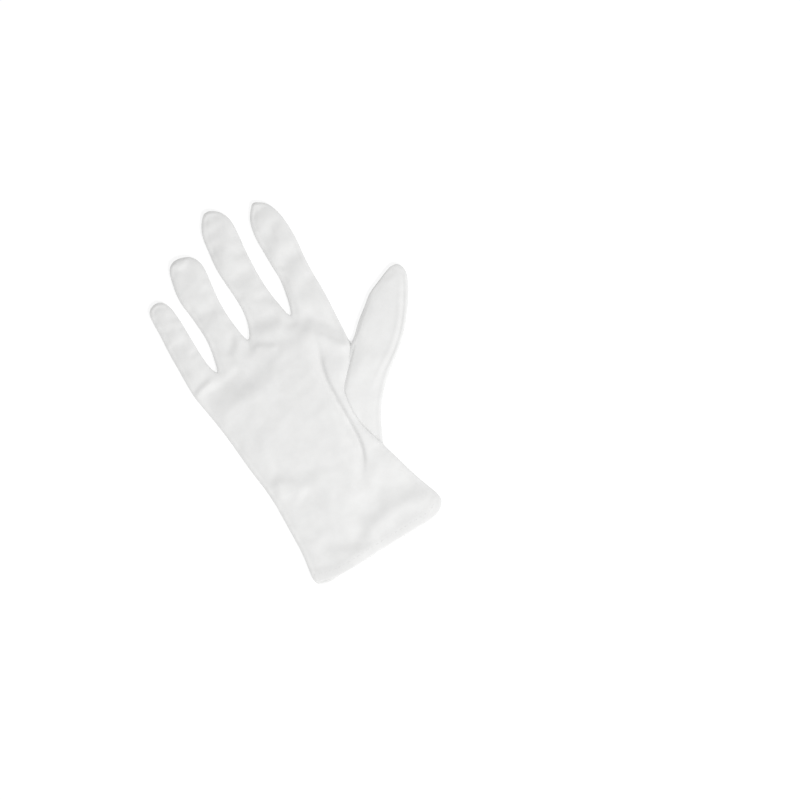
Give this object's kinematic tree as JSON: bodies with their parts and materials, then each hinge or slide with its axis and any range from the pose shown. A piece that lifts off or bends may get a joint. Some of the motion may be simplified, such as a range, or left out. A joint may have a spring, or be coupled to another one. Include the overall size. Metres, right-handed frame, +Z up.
{
  "type": "cotton dress glove",
  "caption": "Plain knitted cotton dress glove for the right hand, lying flat with the palm up, hollow and open at the cuff, with a set-in thumb.",
  "frame": {"origin": "middle of the underside of the whole glove, on the surface that it lies on", "axes": "+Y from the cuff to the fingertips, +X to the thumb side, +Z up out of the palm"},
  "size_m": [0.1596, 0.248, 0.0102],
  "materials": {
    "cotton": "fine white cotton knit, matt"
  },
  "bodies": {
    "root": {"palm_panel": "cotton", "back_panel": "cotton", "thumb": "cotton"}
  },
  "joints": []
}
